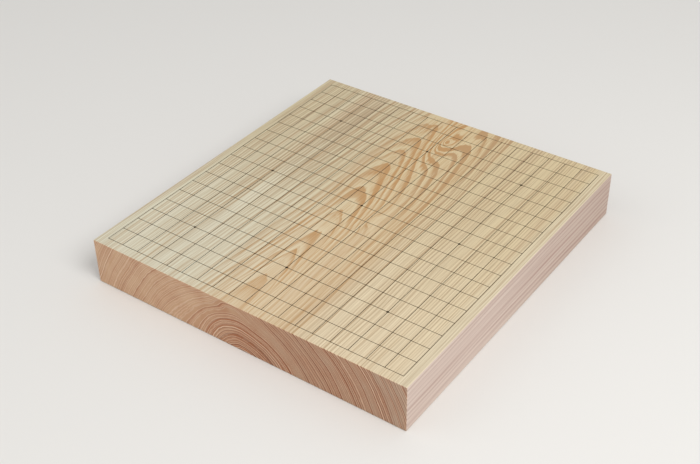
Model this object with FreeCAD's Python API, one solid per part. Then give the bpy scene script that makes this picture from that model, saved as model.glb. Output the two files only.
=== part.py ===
"""Table go board: one slab of solid wood, nineteen by nineteen raised lacquer lines and nine star points.

The origin is at the centre of the underside. +X runs across the grain, +Y along the grain and +Z up.
Lengths are in millimetres.
"""
import FreeCAD, Part
import os

# Slab
board_width = 424.2  # across the grain, 1.4 shaku
board_length = 454.5  # along the grain, 1.5 shaku
board_thickness = 59.0  # a 2 sun blank after planing
edge_chamfer = 0.8  # fine chamfer planed on all twelve edges

# Grid
line_count = 19  # lines each way
side_margin = 12.3  # bare wood from a long edge to the nearest lengthwise line
end_margin = 12.15  # bare wood from an end to the nearest crosswise line
line_width = 0.7
line_height = 0.12  # how far the lacquer of a line stands above the wood
bridge_ramp = 0.6  # length over which a crosswise line climbs onto a lengthwise one

# Star points
star_step = 6  # lines from one star point to the next
star_diameter = 3.2
star_height = 0.45  # crown of the drop above the wood

# Worked out from the values above
top = board_thickness
middle_line = (line_count - 1) // 2
grid_half_width = board_width / 2 - side_margin
grid_half_length = board_length / 2 - end_margin
pitch_across = 2 * grid_half_width / (line_count - 1)  # 22.2 between lengthwise lines
pitch_along = 2 * grid_half_length / (line_count - 1)  # 23.9 between crosswise lines
line_letters = "abcdefghjklmnopqrstuvwxyz"  # the letter i is skipped by custom

up = FreeCAD.Vector(0, 0, 1)


def column_x(index):
    """Where a lengthwise line lies, counted from 0 at the lowest X."""
    return index * pitch_across - grid_half_width


def row_y(index):
    """Where a crosswise line lies, counted from 0 at the lowest Y."""
    return index * pitch_along - grid_half_length


def make_slab():
    """The block of wood, with a fine chamfer on every edge."""
    corner = FreeCAD.Vector(-board_width / 2, -board_length / 2, 0)
    block = Part.makeBox(board_width, board_length, board_thickness, corner)
    return block.makeChamfer(edge_chamfer, block.Edges)


def make_lengthwise_line(index):
    """A strip of lacquer along the grain, laid first and straight on the wood."""
    length = 2 * grid_half_length + line_width
    corner = FreeCAD.Vector(column_x(index) - line_width / 2, -length / 2, top)
    return Part.makeBox(line_width, length, line_height, corner)


def crosswise_profile():
    """The side view of a crosswise line: points (x, z) round a strip that bridges each lengthwise line."""
    half = line_width / 2
    under, over = [], []
    for index in range(line_count):
        x = column_x(index)
        first, last = index == 0, index == line_count - 1
        if not first:
            under += [(x - half, top), (x - half, top + line_height)]
            over += [(x - half - bridge_ramp, top + line_height), (x - half, top + 2 * line_height)]
        else:
            under += [(x - half, top + line_height)]
            over += [(x - half, top + 2 * line_height)]
        if not last:
            under += [(x + half, top + line_height), (x + half, top)]
            over += [(x + half, top + 2 * line_height), (x + half + bridge_ramp, top + line_height)]
        else:
            under += [(x + half, top + line_height)]
            over += [(x + half, top + 2 * line_height)]
    return under + over[::-1]


def make_crosswise_line(index):
    """A strip of lacquer across the grain, laid second, so it rides over every lengthwise line."""
    y = row_y(index) - line_width / 2
    points = [FreeCAD.Vector(x, y, z) for x, z in crosswise_profile()]
    outline = Part.makePolygon(points + points[:1])
    return Part.Face(outline).extrude(FreeCAD.Vector(0, line_width, 0))


def make_star_point(column, row, lines):
    """A low drop of lacquer over a crossing: a ball's cap, less the lines that it covers."""
    radius = star_diameter / 2
    ball_radius = (radius**2 + star_height**2) / (2 * star_height)
    centre = FreeCAD.Vector(column_x(column), row_y(row), top + star_height - ball_radius)
    ball = Part.makeSphere(ball_radius, centre)
    foot = FreeCAD.Vector(column_x(column), row_y(row), top)
    drop = Part.makeCylinder(radius, star_height, foot, up).common(ball)
    return drop.cut(lines)


def export(name, shape):
    """Writes one node as parts/NAME.step."""
    shape.exportStep(f"parts/{name}.step")
    print(f"{name}: {len(shape.Solids)} solid, {shape.Volume:.2f} mm3")


def main():
    os.makedirs("parts", exist_ok=True)
    export("wood_slab", make_slab())

    lengthwise = [make_lengthwise_line(index) for index in range(line_count)]
    crosswise = [make_crosswise_line(index) for index in range(line_count)]
    for index in range(line_count):
        export(f"lengthwise_line_{line_letters[index]}", lengthwise[index])
        export(f"crosswise_line_{index + 1}", crosswise[index])

    star_lines = [middle_line - star_step, middle_line, middle_line + star_step]
    for column in star_lines:
        for row in star_lines:
            drop = make_star_point(column, row, [lengthwise[column], crosswise[row]])
            export(f"star_point_{line_letters[column]}{row + 1}", drop)


main()
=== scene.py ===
# %% [markdown]
# # A table go board, dressed in Blender
#
# The board is one thick slab of pale softwood. Black lacquer lines, nineteen each way, stand a
# hair's breadth above its face, with nine small drops of lacquer as star points. This notebook
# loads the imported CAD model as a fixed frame, lays finer meshes over it and gives them their finish.

# %% Load the frame
import math
from types import SimpleNamespace

import bmesh
import bpy
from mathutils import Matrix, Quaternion, Vector


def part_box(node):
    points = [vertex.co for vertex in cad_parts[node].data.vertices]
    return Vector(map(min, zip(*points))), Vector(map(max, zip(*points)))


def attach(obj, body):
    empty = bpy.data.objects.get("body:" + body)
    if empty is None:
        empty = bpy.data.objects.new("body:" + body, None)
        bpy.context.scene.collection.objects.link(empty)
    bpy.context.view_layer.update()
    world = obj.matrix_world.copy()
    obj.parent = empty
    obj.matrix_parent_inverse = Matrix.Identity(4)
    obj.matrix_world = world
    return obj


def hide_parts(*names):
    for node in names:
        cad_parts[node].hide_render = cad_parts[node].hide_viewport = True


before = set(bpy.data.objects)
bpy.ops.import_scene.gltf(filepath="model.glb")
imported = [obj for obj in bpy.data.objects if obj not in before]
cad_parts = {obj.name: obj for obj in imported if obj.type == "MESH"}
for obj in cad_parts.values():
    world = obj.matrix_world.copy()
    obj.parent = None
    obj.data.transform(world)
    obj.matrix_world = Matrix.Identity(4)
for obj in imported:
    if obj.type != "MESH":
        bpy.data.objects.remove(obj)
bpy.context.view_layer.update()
print("nodes in the frame:", len(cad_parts))

# %% [markdown]
# ## Sizes
#
# The sizes of the slab, the lines and the star points are read from the frame, so that the looks
# follow the CAD model if it is changed. Only the figure of the wood and the rounding of the edges
# have sizes of their own. The letters of the lengthwise lines are those that go players use, which
# leave out the letter i.

# %% Read the sizes from the frame
MM = 0.001
letters = "abcdefghjklmnopqrst"
line_count = len(letters)
column_names = [f"lengthwise_line_{letter}" for letter in letters]
row_names = [f"crosswise_line_{number + 1}" for number in range(line_count)]
star_names = sorted(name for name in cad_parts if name.startswith("star_point_"))

slab_low, slab_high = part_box("wood_slab")
slab_top = slab_high.z
first_column_low, first_column_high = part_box(column_names[0])
last_column_low, last_column_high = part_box(column_names[-1])
first_row_low, first_row_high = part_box(row_names[0])
last_row_low, last_row_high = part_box(row_names[-1])
star_low, star_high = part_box(star_names[0])

line_width = first_column_high.x - first_column_low.x
line_height = first_column_high.z - slab_top
line_climb = first_row_high.z - first_column_high.z
column_pitch = (last_column_low.x - first_column_low.x) / (line_count - 1)
row_pitch = (last_row_low.y - first_row_low.y) / (line_count - 1)
star_diameter = star_high.x - star_low.x
star_height = star_high.z - slab_top
print(f"pitch {column_pitch / MM:.1f} x {row_pitch / MM:.1f} mm, line {line_width / MM:.2f} mm")

# %% [markdown]
# ## The camera
#
# A camera is a place, a direction and a lens. Its place and the point that it looks at were worked
# out from the perspective of the grid, and it leans over by less than a degree.

# %% Place the camera
camera_place = Vector((0.6513, -0.9253, 0.8458))
camera_target = Vector((-0.0046, -0.0178, 0.0295))
camera_roll = math.radians(-0.82)
camera_lens_mm = 60.4
camera_sensor_mm = 36.0

camera_data = bpy.data.cameras.new("camera")
camera_data.lens = camera_lens_mm
camera_data.sensor_width = camera_sensor_mm
camera_data.sensor_fit = "HORIZONTAL"
camera = bpy.data.objects.new("camera", camera_data)
bpy.context.scene.collection.objects.link(camera)
camera.location = camera_place
camera.rotation_mode = "QUATERNION"
looking = (camera_target - camera_place).to_track_quat("-Z", "Y")
camera.rotation_quaternion = looking @ Quaternion((0, 0, 1), camera_roll)
bpy.context.scene.camera = camera
print("camera is", round((camera_target - camera_place).length, 3), "m from the board")

# %% [markdown]
# ## Sums written as sums
#
# A node tree is easier to read when `a * b + c` is written as it is. `Term` wraps one socket, and
# each operator adds the Math node that does it. `Tree` adds any other node: its type, the values
# or links of its sockets, and then its settings. Both work in a material and in geometry nodes.


# %% A wrapper for sockets and trees
class Term:
    """One output socket that Python's operators can work on."""

    def __init__(self, tree, socket):
        self.tree, self.socket = tree, socket

    def math(self, operation, *others, clamp=False):
        sockets = dict(enumerate((self, *others)))
        return self.tree.node("ShaderNodeMath", sockets, operation=operation, use_clamp=clamp)[0]

    def __add__(self, other):
        return self.math("ADD", other)

    def __sub__(self, other):
        return self.math("SUBTRACT", other)

    def __rsub__(self, other):
        return self.math("MULTIPLY", -1.0) + other

    def __mul__(self, other):
        return self.math("MULTIPLY", other)

    def __truediv__(self, other):
        return self.math("DIVIDE", other)

    def __pow__(self, other):
        return self.math("POWER", other)

    __radd__, __rmul__ = __add__, __mul__

    def step(self, start, end, low=0.0, high=1.0):
        """Goes smoothly from low to high as this value goes from start to end."""
        sockets = {"Value": self, 1: start, 2: end, 3: low, 4: high}
        return self.tree.node("ShaderNodeMapRange", sockets, interpolation_type="SMOOTHSTEP")[0]

    def bell(self, middle, reach):
        """Is 1 where this value is at the middle, a third at the reach and almost 0 at twice that."""
        off = (self - middle) / reach
        return (off * off * -1.0).math("EXPONENT")

    def clamped(self):
        """Stays between 0 and 1."""
        return self.math("ADD", 0.0, clamp=True)


class Tree:
    """A node tree, with one method that adds any node."""

    def __init__(self, nodes_and_links):
        self.tree = nodes_and_links

    def node(self, kind, sockets=None, **settings):
        """Adds a node, sets it up, fills its sockets by name or number, and gives its outputs."""
        made = self.tree.nodes.new(kind)
        for name, value in settings.items():
            setattr(made, name, value)
        for key, value in (sockets or {}).items():
            socket = made.inputs[key]
            if isinstance(value, Term):
                self.tree.links.new(value.socket, socket)
            else:
                socket.default_value = value
        return [Term(self, socket) for socket in made.outputs]

    def blend(self, first, second, factor):
        """Lays the second colour over the first, as a Math node can't."""
        sockets = {0: factor, 6: first, 7: second}
        return self.node("ShaderNodeMix", sockets, data_type="RGBA", clamp_factor=True)[2]

    def point(self, x, y, z):
        return self.node("ShaderNodeCombineXYZ", {0: x, 1: y, 2: z})[0]

    def parts(self, vector):
        """The X, Y and Z of a vector, or the red, green and blue of a colour."""
        return self.node("ShaderNodeSeparateXYZ", {0: vector})

    def noise(self, point, scale=1.0, detail=2.0, roughness=0.5):
        """Soft noise about 0, from -1 to 1."""
        sockets = {"Vector": point, "Scale": scale, "Detail": detail, "Roughness": roughness}
        return self.node("ShaderNodeTexNoise", sockets)[0] * 2.0 - 1.0

    def noise_with_grain(self, place, across, along, detail=2.0, roughness=0.5):
        """Soft noise about 0, drawn out along Y. Across and along are its waves per unit of place."""
        x, y, z = place
        return self.noise(self.point(x * across, y * along, z * across), 1.0, detail, roughness)

    def noise_along(self, value, scale):
        """Soft noise about 0 that changes only with one value."""
        sockets = {"W": value, "Scale": scale, "Detail": 1.0}
        return self.node("ShaderNodeTexNoise", sockets, noise_dimensions="1D")[0] * 2.0 - 1.0


def hue(red, green, blue):
    """A colour as a screen names it (sRGB, 0 to 255), turned into the light that shaders work in."""
    share = [part / 255 for part in (red, green, blue)]
    light = [part / 12.92 if part <= 0.04045 else ((part + 0.055) / 1.055) ** 2.4 for part in share]
    return (*light, 1.0)


def new_paint(name):
    """An empty material and its tree."""
    material = bpy.data.materials.new(name)
    material.use_nodes = True
    material.node_tree.nodes.clear()
    return material, Tree(material.node_tree)


# %% [markdown]
# ## The figure of the wood
#
# A plank shows the same growth rings on every side: arcs on the ends, fine straight lines on the
# long sides and tall arches on the face. So the wood isn't painted on each face. The rings are
# worked out in space, as the distance from the tree's pith, and each face cuts through them. The
# pith lies below the slab and sinks slowly towards the far end, which is what makes the arches.
#
# This tree grew unevenly. Its early rings lie round the heart and are wider on the right of it. The
# later ones are large circles round another centre, with a few wide pale years between the two.
# Just under the face the later rings bulge up into a ridge with a blunt top, which makes the arches
# broader. A few swellings, such as old branches leave, shift the rings round them, and the face
# cuts those into eyes and waves.

# %% Shape the log
# Lengths are in mm. First come the heart, the trunk, the growth between them, and how the pith lies.
heart_x, heart_rise, heart_radius, heart_spread = 1.0, 38.0, 60.0, 1.3
trunk_x, trunk_radius = -13.0, 118.0
sapling_growth = 26.0
pith_depth, pith_slope, pith_curve, pith_reach = 129.4, 0.066, 4e-5, 95.0
# The log strays from a straight line in slow waves, but less so towards the right edge.
stray_across, stray_along, stray_detail = 0.012, 0.0042, 1.5
stray_sideways, stray_up = 14.0, 8.0
straight_from, straight_to, straightened = 110.0, 200.0, 0.35
# The ridge: its height, how far it reaches to each side and into the wood, and how blunt it is.
ridge_rise, ridge_reach, ridge_depth, ridge_bluntness = 9.5, 29.0, 10.0, 2.6
# Towards the far end it gets wider by this much, and its line runs over to the left.
ridge_widening, ridge_widening_span = 5.0, (0.0, 140.0)
ridge_near_x, ridge_far_x, ridge_turning_span = -7.0, -34.0, (-60.0, 130.0)
# Each swelling: its centre along X and Y, its reach along X and Y, and how much growth it adds.
swellings = [
    (9.0, 180.0, 16.0, 52.0, 11.5),
    (9.0, 176.0, 6.0, 8.0, 4.0),
    (27.0, -22.0, 9.0, 20.0, 3.5),
    (37.0, 206.0, 13.0, 34.0, 2.8),
]
swelling_depth = 30.0
# Ruffles are strong in the swellings, faint along the ridge and hardly there elsewhere.
ruffle_across, ruffle_along, ruffle_roughness = 0.055, 0.018, 0.6
swelling_ruffle, ridge_ruffle, plain_ruffle = 3.0, 0.9, 0.25

# %% Where the rings lie
tiny = 0.001  # keeps a division away from zero
normal_output, object_output = 1, 3  # of the Texture Coordinate node


def place_in_mm(tree):
    """Where a point is along X and Y, and how high it is above the top of the slab, in mm."""
    x, y, z = tree.parts(tree.node("ShaderNodeTexCoord")[object_output])
    return x / MM, y / MM, z / MM - slab_top / MM


def ring_distance(tree, place):
    """How far out a point grew, and how near a swelling, the ridge and the wide years it is."""
    x, y, z = place
    slow = tree.point(x * stray_across, y * stray_along, z * stray_across)
    stray = tree.node("ShaderNodeTexNoise", {"Vector": slow, "Scale": 1.0, "Detail": stray_detail})[1]
    stray_x, _, stray_z = tree.parts(stray)
    strength = x.step(straight_from, straight_to, low=1.0, high=straightened)
    bent_x = x + (stray_x - 0.5) * stray_sideways * strength
    sinking = (y * pith_slope + y * y * pith_curve) * bent_x.bell(trunk_x, pith_reach)
    bent_z = z + (stray_z - 0.5) * stray_up * strength + pith_depth + sinking

    heart_off, trunk_off, heart_up = bent_x - heart_x, bent_x - trunk_x, bent_z - heart_rise
    heart_off = heart_off.math("MINIMUM", 0.0) + heart_off.math("MAXIMUM", 0.0) / heart_spread
    heart = (heart_off * heart_off + heart_up * heart_up).math("SQRT")
    trunk = (trunk_off * trunk_off + bent_z * bent_z).math("SQRT")
    past_heart = (heart - heart_radius).math("MAXIMUM", 0.0)
    to_trunk = (trunk_radius - trunk).math("MAXIMUM", 0.0)
    between = past_heart / (past_heart + to_trunk + tiny)
    grown = heart.math("MINIMUM", heart_radius) + between * sapling_growth
    grown = grown + (trunk - trunk_radius).math("MAXIMUM", 0.0)
    wide = between * (1.0 - between) * 4.0  # 1 halfway between the heart and the trunk

    ridge_width = y.step(*ridge_widening_span) * ridge_widening + ridge_reach
    ridge_x = y.step(*ridge_turning_span, low=ridge_near_x, high=ridge_far_x)
    ridge_off = ((x - ridge_x) / ridge_width).math("ABSOLUTE") ** ridge_bluntness
    ridge = ((ridge_off + (z / ridge_depth) ** 2.0) * -1.0).math("EXPONENT")
    grown = grown - ridge * ridge_rise
    swollen = 0.0
    for centre_x, centre_y, reach_x, reach_y, growth in swellings:
        hill = x.bell(centre_x, reach_x) * y.bell(centre_y, reach_y) * z.bell(0.0, swelling_depth)
        grown = grown + hill * growth
        swollen = hill + swollen
    ruffle = tree.noise_with_grain(place, ruffle_across, ruffle_along, roughness=ruffle_roughness)
    grown = grown + ruffle * (swollen * swelling_ruffle + ridge * ridge_ruffle + plain_ruffle)
    return {"grown": grown, "wide": wide, "ridge": ridge, "swollen": swollen}


# %% [markdown]
# One year of growth starts pale and soft, and ends in a narrow dark band, after which the next year
# starts at once. So a ring's colour climbs slowly and drops sharply. No two years are alike: each
# ring gets its own darkness from its number, and rings crowd and spread by a slow noise. There were
# also hard spells of several years, which left groups of darker rings. Fine pale threads run along
# the rings too, a little closer together than the rings themselves.

# %% Give the rings their habits
# Lengths are in mm of growth. Past the start of the crowding, rings lie closer together.
ring_spacing = 3.6
crowding_start, crowding = 116.0, 0.3
# What makes rings crowd and spread, in rings: a long and a short wave of growth, and a waver along
# the log. Each has its waves per mm and its depth.
long_wave, long_depth = 0.045, 0.9
short_wave, short_depth = 0.21, 0.5
waver_across, waver_along, waver_detail, waver_depth = 0.10, 0.006, 3.0, 0.16
# Where in a year, from 0 to 1, the late wood rises and falls and the young wood ends.
late_rise, late_fall, young_fall = (0.36, 0.92), (0.95, 1.0), (0.04, 0.26)
threads_per_ring, thread_waver = 1.4, 2.0
thread_rise, thread_fall = (0.0, 0.10), (0.10, 0.50)
# How hard a ring is by its own chance, in a swelling, and at least.
own_hardness, swollen_hardness, least_hardness = 0.6, 0.15, 0.22
# Each hard spell: how far out it lies and how far it reaches, in mm, and how dark it is.
hard_spells = [
    (26.0, 34.0, 0.50),
    (101.0, 4.0, 0.30),
    (120.0, 3.0, 0.30),
    (130.0, 2.5, 0.25),
    (152.0, 9.0, 0.35),
    (183.0, 5.0, 0.35),
    (206.0, 3.5, 0.30),
]
# The wide years are softer to the right of the heart.
softening, softening_span = 0.6, (-40.0, 30.0)


# %% How dark each ring is
def ring_darkness(tree, place, traits):
    """How much of each kind of wood is here: late, young and pale threads, and how hard it is."""
    grown = traits["grown"]
    waver = tree.noise_with_grain(place, waver_across, waver_along, waver_detail) * waver_depth
    long_part = tree.noise_along(grown, long_wave) * long_depth
    short_part = tree.noise_along(grown, short_wave) * short_depth
    crowded = grown + (grown - crowding_start).math("MAXIMUM", 0.0) * crowding
    turn = crowded / ring_spacing + (long_part + short_part) + waver
    number = turn.math("FLOOR")
    through = turn - number
    own = tree.node("ShaderNodeTexWhiteNoise", {"W": number}, noise_dimensions="1D")[0]
    hard = own * own * own_hardness + traits["swollen"] * swollen_hardness + least_hardness
    for centre, reach, amount in hard_spells:
        hard = hard + grown.bell(centre, reach) * amount
    hard = hard * (1.0 - traits["wide"] * place[0].step(*softening_span) * softening)
    late = through.step(*late_rise) * (1.0 - through.step(*late_fall))
    young = 1.0 - through.step(*young_fall)
    season = (turn * threads_per_ring + waver * thread_waver).math("FRACT")
    thread = (1.0 - season.step(*thread_fall)) * season.step(*thread_rise)
    return {"late": late, "young": young, "thread": thread, "hard": hard}


# %% [markdown]
# ## Where the wood changes
#
# No board has one colour all over. This one is warmer along its arches, has a tan band to the right
# of them and rosy streaks at the far left, and slowly changes towards its right. Towards its far
# end it is painted darker and more golden, which is painted shade, and that leaves the near end
# paler and greyer, as a painted sheen.
# Hair-fine fibres run through all of it. Each of these is worked out once, as a trait with a name.
# A colour is then a sum of a few traits, each times an amount, so the amounts can stand in tables.

# %% List the traits of the wood
# Places and lengths are in mm. Each band runs along the grain: its middle along X and its reach.
bands = {
    "arch": (-4.0, 54.77),
    "tan": (58.0, 19.0),
    "rosy": (-130.0, 25.0),
    "calm": (34.0, 24.0),
}
# Each slow change: the axis it runs along, 0 for X and 1 for Y, where it starts and where it ends.
changes = {
    "left": (0, -58.0, -88.0),
    "right": (0, -80.0, 90.0),
    "right_edge": (0, 192.0, 206.0),
    "end_edge": (0, 140.0, 205.0),
    "near": (1, 90.0, -40.0),
    "past_near": (1, -150.0, 90.0),
    "far": (1, -240.0, 160.0),
    "farther": (1, -120.0, 227.0),
}
# Each noise: its waves per mm across and along the grain, its detail and its roughness.
noises = {
    "fibre": (0.8, 0.012, 4.0, 0.65),
    "streak": (0.30, 0.004, 4.0, 0.6),
    "sweep": (0.045, 0.0022, 2.0, 0.5),
    "pore": (2.2, 0.4, 3.0, 0.7),
    "blotch": (0.05, 0.01, 3.0, 0.5),
}
# How much stronger the lines are on the left, and how bold the whole grain is: at the near end and
# at the far end, and between which places along Y the one turns into the other.
left_strength, left_strength_span = (-0.05, 0.60), (-200.0, 150.0)
boldness, boldness_span = (0.72, 1.70), (-230.0, 230.0)
# Between these two slopes, a surface turns from one side of the slab to the next.
turning = (0.55, 0.85)
print("bands, changes and noises:", len(bands), len(changes), len(noises))


# %% Work out every trait
def traits_of_wood(tree):
    """Every trait of the wood at a point, by name."""
    place = place_in_mm(tree)
    traits = ring_distance(tree, place)
    traits |= ring_darkness(tree, place, traits)
    for name, (middle, reach) in bands.items():
        traits[name] = place[0].bell(middle, reach)
    for name, (axis, start, end) in changes.items():
        traits[name] = place[axis].step(start, end)
    for name, (across, along, detail, roughness) in noises.items():
        traits[name] = tree.noise_with_grain(place, across, along, detail, roughness)
    traits["rosy"] = traits["rosy"] * traits["far"]
    traits["calm"] = traits["calm"] * traits["near"]
    traits["left"] = traits["left"] * place[1].step(*left_strength_span, *left_strength)
    traits["bold"] = place[1].step(*boldness_span, *boldness)
    facing = tree.parts(tree.node("ShaderNodeTexCoord")[normal_output])
    traits["on_side"] = facing[0].math("ABSOLUTE").step(*turning)
    traits["on_end"] = facing[1].math("ABSOLUTE").step(*turning)
    return SimpleNamespace(**traits)


def weigh(here, amounts):
    """Adds up the named traits, each times its amount. The amount under "always" is only added."""
    total = amounts.get("always", 0.0)
    for name, amount in amounts.items():
        if name != "always":
            total = getattr(here, name) * amount + total
    return total


# %% [markdown]
# ## The colour along the grain
#
# On the face and underneath, pale early wood lies between tan late wood. The pale wood is mixed in
# layers, as a painter glazes: each layer has a colour and covers as much as one trait says. Then
# the tan is laid over it as far as the rings, the fibres and the streaks together say.

# %% Colour the wood along the grain
palest_wood = hue(216, 212, 190)
# Each layer over it: its colour, the trait that it follows and how much it covers.
pale_layers = [
    (hue(225, 208, 176), "right", 1.0),
    # The next layer is painted shade: darker and more golden towards the far end, which leaves the
    # near end paler, as a painted sheen.
    (hue(200, 180, 134), "far", 0.6),
    (hue(198, 172, 144), "rosiness", 0.75),
    (hue(222, 214, 192), "milkiness", 0.6),
    (hue(212, 180, 130), "warmth", 0.32),
    (hue(217, 206, 180), "right_edge", 0.6),
]
tan_wood, warm_tan_wood = hue(173, 153, 123), hue(186, 143, 93)
warm_parts = {"arch": 0.90, "streak": 0.25, "hard": 0.30, "tan": 0.30, "always": -0.05}
rosy_streaks = {"streak": 0.5, "always": 0.5}
rosy_parts = {"sweep": 1.2, "always": -0.1}
milky_sweeps = {"right": 1.5, "always": -2.0}
milky_start = 0.1
# How dark the late wood is, how strong, and how much it fades in the calm band and on the ridge.
line_darkness = {"hard": 1.0, "arch": 0.42}
line_strength = {"left": 1.0, "right": 0.1, "always": 1.0}
calm_fading, ridge_fading = 0.6, 0.28
rosy_lines = {"late": 0.45, "streak": 1.7}
swollen_strength = {"swollen": 0.4, "always": 1.0}
fine_lines = {"fibre": 1.0, "thread": -0.24, "always": -0.12}
streak_strength = {"right": -0.5, "always": 0.85}
tone = {"tan": 0.22, "arch": 0.03, "ridge": 0.03, "always": 0.34}


def colour_along(tree, here):
    """The colour of the face, from the pale wood to the tan wood of the lines."""
    here.warmth = weigh(here, warm_parts).clamped()
    here.rosiness = (weigh(here, rosy_parts) + here.rosy * weigh(here, rosy_streaks)).clamped()
    here.milkiness = (here.sweep * weigh(here, milky_sweeps) - milky_start).clamped()
    pale = palest_wood
    for colour, trait, cover in pale_layers:
        pale = tree.blend(pale, colour, getattr(here, trait) * cover)
    tan = tree.blend(tan_wood, warm_tan_wood, here.warmth)

    lines = here.late * weigh(here, line_darkness) * weigh(here, line_strength)
    lines = lines * (1.0 - here.calm * calm_fading)
    lines = lines * (1.0 - here.ridge * here.past_near * ridge_fading)
    lines = lines + here.rosy * weigh(here, rosy_lines)
    grain = lines * weigh(here, swollen_strength) + weigh(here, fine_lines)
    grain = grain + here.streak * weigh(here, streak_strength)
    grain = grain * here.bold + weigh(here, tone)
    return tree.blend(pale, tan, grain.clamped())


# %% [markdown]
# ## The colour of the ends
#
# On the ends the cut fibres drink in light, so the wood is browner there and its rings stand out,
# most of all on the right. Pores and soft blotches break up the brown, the young wood shows as
# bright threads, and the late wood as dark ones.

# %% Colour the cut ends
left_end_wood, right_end_wood = hue(204, 166, 132), hue(181, 144, 116)
edge_end_wood, edge_cover = hue(176, 154, 134), 0.8
brown_end_wood = hue(168, 103, 65)
bright_end_wood, dark_end_wood = hue(226, 196, 168), hue(124, 74, 48)
brown_parts = {"arch": 0.20, "blotch": 0.45, "pore": 0.12, "always": -0.1}
brown_rings = {"right": 0.3, "always": 0.65}
bright_rings = {"hard": 0.8, "always": 0.15}
bright_threads = {"right": -0.12, "always": 0.50}
dark_rings = {"hard": 1.1, "always": 0.12}
dark_strength = {"right": 1.0, "always": 0.18}


def colour_of_ends(tree, here):
    """The colour of the end grain, with its bright and dark rings."""
    pale = tree.blend(left_end_wood, right_end_wood, here.right)
    pale = tree.blend(pale, edge_end_wood, here.end_edge * edge_cover)
    brown = here.hard * weigh(here, brown_rings) + weigh(here, brown_parts)
    bright = here.young * weigh(here, bright_rings) + here.thread * weigh(here, bright_threads)
    dark = here.late * here.late * weigh(here, dark_rings) * weigh(here, dark_strength)
    body = tree.blend(pale, brown_end_wood, brown)
    return tree.blend(tree.blend(body, bright_end_wood, bright), dark_end_wood, dark)


# %% [markdown]
# ## The colour of the long sides
#
# The long sides run along the log, so the rings cross them as long lines that are nearly parallel.
# They are rosier than the face, and towards the far end they are painted darker and more sallow,
# which is painted shade, so a rosy wood with lines of its own covers most of what the face would
# show there.

# %% Colour the long sides
rosy_side_wood, side_cover = hue(210, 190, 182), 0.8
# Painted shade: with this colour and cover the rosy wood turns darker and more sallow towards the far
# end.
shaded_far_side_wood, far_shade_cover = hue(176, 154, 143), 0.70
side_line_wood = hue(166, 130, 124)
side_lines = {"late": 0.9, "streak": 1.6}
side_line_strength = {"farther": 0.7, "always": 0.5}
side_tone = 0.10


def colour_of_sides(tree, here, long_wood):
    """The colour of the long sides: what the face would show, under a rosy layer."""
    # The rosy layer is painted darker towards the far end: painted shade.
    rose = tree.blend(rosy_side_wood, shaded_far_side_wood, here.farther * far_shade_cover)
    lines = weigh(here, side_lines) * weigh(here, side_line_strength) + side_tone
    return tree.blend(long_wood, tree.blend(rose, side_line_wood, lines), side_cover)


# %% [markdown]
# ## Finish of the wood
#
# The three colours are joined by the way the surface faces. Roughness and a faint relief follow the
# same rings, because the hard late wood takes a better polish than the early wood, and the ends are
# duller than the rest.

# %% Make the wood
roughness_parts = {"late": -0.10, "fibre": 0.05, "on_end": 0.15, "always": 0.50}
relief_parts = {"late": 0.5, "fibre": 0.5}
relief_strength, relief_height = 0.25, 0.2 * MM
wood_specular = 0.35


def make_wood():
    material, tree = new_paint("planed softwood")
    here = traits_of_wood(tree)
    long_wood = colour_along(tree, here)
    side_wood = colour_of_sides(tree, here, long_wood)
    colour = tree.blend(long_wood, side_wood, here.on_side)
    colour = tree.blend(colour, colour_of_ends(tree, here), here.on_end)
    bump = tree.node("ShaderNodeBump", {
        "Strength": relief_strength,
        "Distance": relief_height,
        "Height": weigh(here, relief_parts),
    })[0]
    shader = tree.node("ShaderNodeBsdfPrincipled", {
        "Base Color": colour,
        "Roughness": weigh(here, roughness_parts),
        "Normal": bump,
        "Specular IOR Level": wood_specular,
    })[0]
    tree.node("ShaderNodeOutputMaterial", {"Surface": shader})
    return material


wood = make_wood()
print("wood nodes:", len(wood.node_tree.nodes))


# %% [markdown]
# ## Finish of the lacquer
#
# The lines are black lacquer, half glossy. It isn't laid evenly, so a little brown shows where it
# is thin, and its gloss changes about every two centimetres.


# %% Make the lacquer
thick_lacquer, thin_lacquer = hue(36, 26, 4), hue(60, 44, 10)
# Both noises count their waves per metre.
thinning_scale, thinning_detail, thinning_range = 120.0, 3.0, (-0.4, 0.7)
gloss_scale, gloss_change, lacquer_roughness = 60.0, 0.08, 0.48
lacquer_specular = 0.15


def make_lacquer():
    material, tree = new_paint("black lacquer")
    place = tree.node("ShaderNodeTexCoord")[object_output]
    thin = tree.noise(place, thinning_scale, thinning_detail).step(*thinning_range)
    colour = tree.blend(thick_lacquer, thin_lacquer, thin)
    rough = tree.noise(place, gloss_scale) * gloss_change + lacquer_roughness
    shader = tree.node("ShaderNodeBsdfPrincipled", {
        "Base Color": colour, "Roughness": rough, "Specular IOR Level": lacquer_specular})[0]
    tree.node("ShaderNodeOutputMaterial", {"Surface": shader})
    return material


lacquer = make_lacquer()

# %% [markdown]
# ## The slab
#
# A plain box would show knife-sharp edges that no plane leaves. So the slab is a box with every
# edge rounded over in a few steps, a little wider than the small chamfer of the CAD node that it
# stands for. Only that rounding is shaded smooth, because the planed sides are flat.
#
# The slab also gets a flat map of its sides. Nothing here reads it, but a program that paints the
# finish into a picture can use it, and it gives most of its room to the playing face.

# %% Make the slab
arris_width = 1.0 * MM
arris_steps = 4
smallest_planed_side = 1e-3  # square metres, more than any face of the rounding
# Each side's share of its flat map. The key is the axis it faces and whether it faces up that axis.
# Then come the axes laid across and up the map, and the left, bottom, width and height on it.
map_shares = {
    (2, True): (0, 1, 0.01, 0.413, 0.98, 0.58),
    (1, False): (0, 2, 0.01, 0.307, 0.98, 0.10),
    (1, True): (0, 2, 0.99, 0.201, -0.98, 0.10),
    (0, True): (1, 2, 0.01, 0.095, 0.485, 0.10),
    (0, False): (1, 2, 0.99, 0.095, -0.485, 0.10),
    (2, False): (0, 1, 0.01, 0.088, 0.98, -0.08),
}


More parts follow.
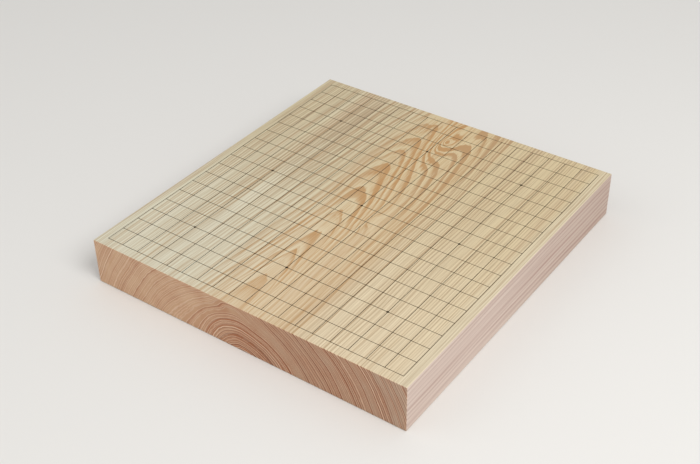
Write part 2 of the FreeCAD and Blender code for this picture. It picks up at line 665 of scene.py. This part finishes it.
def lay_out_map(data):
    """Lays the slab's sides out flat on a map, with most of the room for the playing face."""
    layer = data.uv_layers.new(name="OFBake")
    size = slab_high - slab_low
    for face in data.polygons:
        axis = max(range(3), key=lambda k: abs(face.normal[k]))
        across, up, left, bottom, width, height = map_shares[axis, face.normal[axis] > 0.0]
        for corner in face.loop_indices:
            off = data.vertices[data.loops[corner].vertex_index].co - slab_low
            place = (left + width * off[across] / size[across], bottom + height * off[up] / size[up])
            layer.data[corner].uv = place


def make_slab():
    mesh = bmesh.new()
    bmesh.ops.create_cube(mesh, size=1.0)
    size, middle = slab_high - slab_low, (slab_high + slab_low) / 2
    for corner in mesh.verts:
        corner.co = Vector(a * b for a, b in zip(corner.co, size)) + middle
    bmesh.ops.bevel(mesh, geom=mesh.edges[:] + mesh.verts[:], offset=arris_width,
                    offset_type="OFFSET", segments=arris_steps, profile=0.5, affect="EDGES")
    bmesh.ops.recalc_face_normals(mesh, faces=mesh.faces)
    for face in mesh.faces:
        face.smooth = face.calc_area() < smallest_planed_side
    data = bpy.data.meshes.new("go_board_slab")
    mesh.to_mesh(data)
    mesh.free()
    lay_out_map(data)
    slab = bpy.data.objects.new("go_board_slab", data)
    bpy.context.scene.collection.objects.link(slab)
    slab.data.materials.append(wood)
    return slab


slab = make_slab()
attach(slab, "root")
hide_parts("wood_slab")
print("slab faces:", len(slab.data.polygons))

# %% [markdown]
# ## The lacquer lines
#
# Nineteen equal lines side by side are a rule, so geometry nodes make them: one bead of lacquer is
# swept along a straight curve, repeated at the pitch, and made a little uneven. The lines across
# the grain are laid last, so each one climbs over those below it. The points of the curve are set
# close together at each crossing, where the shape changes, and far apart between.


# %% A tree for one set of lines
def add_inputs(group, wanted):
    """Adds the named inputs and an output to a geometry tree, and gives their identifiers."""
    group.interface.new_socket(name="Geometry", in_out="OUTPUT", socket_type="NodeSocketGeometry")
    made = {}
    for name, kind in wanted.items():
        socket = group.interface.new_socket(name=name, in_out="INPUT", socket_type=kind)
        made[name] = socket.identifier
    return made


line_inputs = {
    "Lines": "NodeSocketInt",
    "Pitch": "NodeSocketFloat",
    "Crossings": "NodeSocketInt",
    "Crossing Pitch": "NodeSocketFloat",
    "Width": "NodeSocketFloat",
    "Height": "NodeSocketFloat",
    "Climb": "NodeSocketFloat",
    "Unevenness": "NodeSocketFloat",
    "Seed": "NodeSocketFloat",
    "Turn": "NodeSocketRotation",
    "Lift": "NodeSocketVector",
    "Material": "NodeSocketMaterial",
}
steps_per_crossing, spare_steps, step_closeness = 10, 2, 2.5
bead_points, bead_fullness = 12, 0.6
# How fast the width sways, in waves per metre, and how far apart the lines lie in that noise.
sway_scale, sway_stride = 60.0, 7.3
climb_reach = 2.8  # from the middle of the line below, in half widths


def line_path(tree, given):
    """One line along X, with its points close together at each crossing and none past its ends."""
    count = (given["Crossings"] - 1) * steps_per_crossing + (2 * spare_steps + 1)
    points = tree.node("GeometryNodeMeshLine", {"Count": count})[0]
    step = (tree.node("GeometryNodeInputIndex")[0] - spare_steps) / steps_per_crossing
    crossing = step.math("ROUND")
    off = step - crossing
    crowded = (off * 2.0).math("ABSOLUTE") ** step_closeness * off.math("SIGN") * 0.5
    middle = (given["Crossings"] - 1) * 0.5
    reach = middle * given["Crossing Pitch"] + given["Width"] * 0.5
    along = (crossing + crowded - middle) * given["Crossing Pitch"]
    along = along.math("MINIMUM", reach).math("MAXIMUM", reach * -1.0)
    points = tree.node("GeometryNodeSetPosition", {
        "Geometry": points, "Position": tree.point(along, 0.0, 0.0)})[0]
    return tree.node("GeometryNodeMeshToCurve", {"Mesh": points})[0]


def bead_along(tree, given, path):
    """A bead of lacquer swept along the path, flat below and domed above."""
    ring = tree.node("GeometryNodeCurvePrimitiveCircle", {"Resolution": bead_points})[0]
    ring_x, ring_y, _ = tree.parts(tree.node("GeometryNodeInputPosition")[0])
    dome = (ring_y * -1.0).math("MAXIMUM", 0.0) ** bead_fullness * -1.0
    outline = tree.point(ring_x * given["Width"] * 0.5, dome * given["Height"], 0.0)
    section = tree.node("GeometryNodeSetPosition", {"Geometry": ring, "Position": outline})[0]
    return tree.node("GeometryNodeCurveToMesh", {
        "Curve": path, "Profile Curve": section, "Fill Caps": True})[0]


def side_by_side(tree, given, bead):
    """Every line is a copy of one bead, laid beside the others along Y."""
    rows = tree.node("GeometryNodeMeshLine", {
        "Count": given["Lines"],
        "Start Location": tree.point(0.0, (given["Lines"] - 1) * given["Pitch"] * -0.5, 0.0),
        "Offset": tree.point(0.0, given["Pitch"], 0.0)})[0]
    copies = tree.node("GeometryNodeInstanceOnPoints", {"Points": rows, "Instance": bead})[0]
    return tree.node("GeometryNodeRealizeInstances", {"Geometry": copies})[0]


def brush_out(tree, given, lines):
    """The brush leaves more lacquer here and less there, and climbs at each crossing."""
    x, y, z = tree.parts(tree.node("GeometryNodeInputPosition")[0])
    row = (y / given["Pitch"] + (given["Lines"] - 1) * 0.5).math("ROUND")
    row_y = (row - (given["Lines"] - 1) * 0.5) * given["Pitch"]
    sway_place = tree.point(x * sway_scale, row * sway_stride + given["Seed"], given["Seed"])
    sway = tree.noise(sway_place).math("ABSOLUTE") * given["Unevenness"]
    wide = 1.0 - sway.math("MINIMUM", given["Unevenness"])
    from_crossing = x / given["Crossing Pitch"] + (given["Crossings"] - 1) * 0.5
    from_crossing = from_crossing.math("FRACT")
    from_crossing = (from_crossing - from_crossing.math("ROUND")).math("ABSOLUTE")
    from_crossing = from_crossing * given["Crossing Pitch"]
    half_width = given["Width"] * 0.5
    over = from_crossing.step(half_width, half_width * climb_reach, low=1.0, high=0.0)
    tall = z * (1.0 + over * given["Climb"] / given["Height"]) * wide
    return tree.node("GeometryNodeSetPosition", {
        "Geometry": lines, "Position": tree.point(x, row_y + (y - row_y) * wide, tall)})[0]


def lay_lines(group, ids_wanted):
    """Fills a geometry tree: a bead swept along one line, repeated at the pitch and made uneven."""
    tree = Tree(group)
    given = dict(zip(ids_wanted, tree.node("NodeGroupInput")))
    bead = bead_along(tree, given, line_path(tree, given))
    lines = brush_out(tree, given, side_by_side(tree, given, bead))
    turned = tree.node("GeometryNodeTransform", {
        "Geometry": lines, "Translation": given["Lift"], "Rotation": given["Turn"]})[0]
    smooth = tree.node("GeometryNodeSetShadeSmooth", {"Geometry": turned})[0]
    painted = tree.node("GeometryNodeSetMaterial", {
        "Geometry": smooth, "Material": given["Material"]})[0]
    tree.node("NodeGroupOutput", {"Geometry": painted})


line_group = bpy.data.node_groups.new("lacquer lines", "GeometryNodeTree")
line_ids = add_inputs(line_group, line_inputs)
lay_lines(line_group, line_ids)
print("line tree nodes:", len(line_group.nodes))


# %% [markdown]
# A modifier holds the values of the tree's inputs under each socket's identifier. Once the piece is
# made, its shape is copied to a plain mesh and the modifier is thrown away, because the finished
# model holds meshes alone.


# %% Turn a tree into a plain piece
def grow(name, group, identifiers, values, material):
    """A piece made by a geometry tree, as a plain mesh at the origin."""
    seed_mesh = bpy.data.meshes.new(name + " seed")
    grower = bpy.data.objects.new(name + " seed", seed_mesh)
    bpy.context.scene.collection.objects.link(grower)
    modifier = grower.modifiers.new("grow", "NODES")
    modifier.node_group = group
    for title, value in values.items():
        modifier[identifiers[title]] = value
    evaluated = grower.evaluated_get(bpy.context.evaluated_depsgraph_get())
    mesh = bpy.data.meshes.new_from_object(evaluated)
    mesh.name = name
    mesh.materials.clear()
    mesh.materials.append(material)
    bpy.data.objects.remove(grower)
    piece = bpy.data.objects.new(name, mesh)
    bpy.context.scene.collection.objects.link(piece)
    return piece


# %% Lay the lines along the grain, then across it
soak = 0.03 * MM  # how far the lacquer sinks into the wood
shared = {
    "Lines": line_count,
    "Crossings": line_count,
    "Width": line_width,
    "Height": line_height + soak,
    "Unevenness": 0.10,
    "Lift": (0.0, 0.0, slab_top - soak),
    "Material": lacquer,
}
along_grain = {"Pitch": column_pitch, "Crossing Pitch": row_pitch, "Climb": 0.0,
               "Seed": 3.0, "Turn": (0.0, 0.0, math.pi / 2)}
across_grain = {"Pitch": row_pitch, "Crossing Pitch": column_pitch, "Climb": line_climb,
                "Seed": 11.0, "Turn": (0.0, 0.0, 0.0)}
lengthwise = grow("lengthwise_lines", line_group, line_ids, shared | along_grain, lacquer)
crosswise = grow("crosswise_lines", line_group, line_ids, shared | across_grain, lacquer)
for piece, names in ((lengthwise, column_names), (crosswise, row_names)):
    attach(piece, "root")
    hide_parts(*names)
    print(piece.name, "faces:", len(piece.data.polygons))

# %% [markdown]
# ## The star points
#
# A star point is a drop of the same lacquer, set down with the tip of a stick, so it is a low dome
# with a soft rim. One ball is flattened into a dome, and geometry nodes set nine of them down on a
# grid of three by three, each a little different in size.

# %% Set down the star points
drop_segments, drop_rings = 32, 16
smallest_drop, largest_drop = 0.93, 1.0
drops_each_way = 3
drop_inputs = {
    "Across": "NodeSocketFloat",
    "Along": "NodeSocketFloat",
    "Diameter": "NodeSocketFloat",
    "Height": "NodeSocketFloat",
    "Lift": "NodeSocketVector",
    "Seed": "NodeSocketInt",
    "Material": "NodeSocketMaterial",
}


def set_drops(group, ids_wanted):
    """Fills a geometry tree: a ball flattened into a dome, set down on a square of places."""
    tree = Tree(group)
    given = dict(zip(ids_wanted, tree.node("NodeGroupInput")))
    ball = tree.node("GeometryNodeMeshUVSphere", {
        "Segments": drop_segments, "Rings": drop_rings, "Radius": 1.0})[0]
    x, y, z = tree.parts(tree.node("GeometryNodeInputPosition")[0])
    dome = z.math("MAXIMUM", 0.0)
    radius = given["Diameter"] * 0.5
    shape = tree.point(x * radius, y * radius, dome * given["Height"])
    drop = tree.node("GeometryNodeSetPosition", {"Geometry": ball, "Position": shape})[0]
    places = tree.node("GeometryNodeMeshGrid", {
        "Size X": given["Across"], "Size Y": given["Along"],
        "Vertices X": drops_each_way, "Vertices Y": drops_each_way})[0]
    size = tree.node("FunctionNodeRandomValue", {
        2: smallest_drop, 3: largest_drop, "Seed": given["Seed"]}, data_type="FLOAT")[1]
    drops = tree.node("GeometryNodeInstanceOnPoints", {
        "Points": places, "Instance": drop, "Scale": tree.point(size, size, 1.0)})[0]
    whole = tree.node("GeometryNodeRealizeInstances", {"Geometry": drops})[0]
    lifted = tree.node("GeometryNodeTransform", {
        "Geometry": whole, "Translation": given["Lift"]})[0]
    smooth = tree.node("GeometryNodeSetShadeSmooth", {"Geometry": lifted})[0]
    painted = tree.node("GeometryNodeSetMaterial", {
        "Geometry": smooth, "Material": given["Material"]})[0]
    tree.node("NodeGroupOutput", {"Geometry": painted})


star_centres = [(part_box(name)[0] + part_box(name)[1]) / 2 for name in star_names]
star_across = max(centre.x for centre in star_centres) - min(centre.x for centre in star_centres)
star_along = max(centre.y for centre in star_centres) - min(centre.y for centre in star_centres)
drop_group = bpy.data.node_groups.new("lacquer drops", "GeometryNodeTree")
drop_ids = add_inputs(drop_group, drop_inputs)
set_drops(drop_group, drop_ids)
drop_values = {
    "Across": star_across,
    "Along": star_along,
    "Diameter": star_diameter,
    "Height": star_height + soak,
    "Lift": (0.0, 0.0, slab_top - soak),
    "Seed": 5,
    "Material": lacquer,
}
stars = grow("star_points", drop_group, drop_ids, drop_values, lacquer)
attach(stars, "root")
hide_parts(*star_names)
print("star points:", len(star_names), "faces:", len(stars.data.polygons))

# %% [markdown]
# ## Floor and light
#
# The floor is plain and pale. One wide soft lamp hangs high on the right and a little towards the
# near end, a weaker one fills in from the near left, and the world gives an even light. From the
# camera the board comes out bright and nothing is burnt out. Seen from behind, part of the floor is.

# %% Make the floor and the lights
floor_colour, floor_roughness = hue(226, 224, 220), 0.9
floor_size = 12.0
floor_drop = 0.3 * MM  # leaves no flicker between the floor and the underside
# Each lamp: its name, its place, its width and its power, in metres and watts.
lamps = [
    ("key lamp", (1.7, -0.6, 2.1), 1.4, 43.0),
    ("fill lamp", (-1.6, -1.6, 1.8), 2.0, 8.0),
]
even_light, seen_light = 0.60, 0.72


def make_floor():
    mesh = bmesh.new()
    bmesh.ops.create_grid(mesh, x_segments=1, y_segments=1, size=floor_size / 2)
    for corner in mesh.verts:
        corner.co.z = -floor_drop
    data = bpy.data.meshes.new("floor")
    mesh.to_mesh(data)
    mesh.free()
    floor = bpy.data.objects.new("floor", data)
    bpy.context.scene.collection.objects.link(floor)
    material, tree = new_paint("pale floor")
    shader = tree.node("ShaderNodeBsdfPrincipled", {
        "Base Color": floor_colour, "Roughness": floor_roughness})[0]
    tree.node("ShaderNodeOutputMaterial", {"Surface": shader})
    floor.data.materials.append(material)


def hang_lamp(name, place, width, power):
    """A square soft lamp that faces the middle of the board."""
    data = bpy.data.lights.new(name, "AREA")
    data.size = width
    data.energy = power
    lamp = bpy.data.objects.new(name, data)
    lamp.location = place
    lamp.rotation_mode = "QUATERNION"
    lamp.rotation_quaternion = (-Vector(place)).to_track_quat("-Z", "Y")
    bpy.context.scene.collection.objects.link(lamp)


def light_world(strength, seen):
    """An even light of one strength on the board, behind which the camera sees another."""
    world = bpy.data.worlds.new("even light")
    world.use_nodes = True
    world.node_tree.nodes.clear()
    tree = Tree(world.node_tree)
    by_camera = tree.node("ShaderNodeLightPath")[0]
    white = (1.0, 1.0, 1.0, 1.0)
    lit = tree.node("ShaderNodeBackground", {"Color": white, "Strength": strength})[0]
    shown = tree.node("ShaderNodeBackground", {"Color": white, "Strength": seen})[0]
    sky = tree.node("ShaderNodeMixShader", {0: by_camera, 1: lit, 2: shown})[0]
    tree.node("ShaderNodeOutputWorld", {"Surface": sky})
    bpy.context.scene.world = world


make_floor()
for lamp in lamps:
    hang_lamp(*lamp)
light_world(even_light, seen_light)
bpy.context.scene.view_settings.view_transform = "Standard"
print("lamps:", len(lamps))
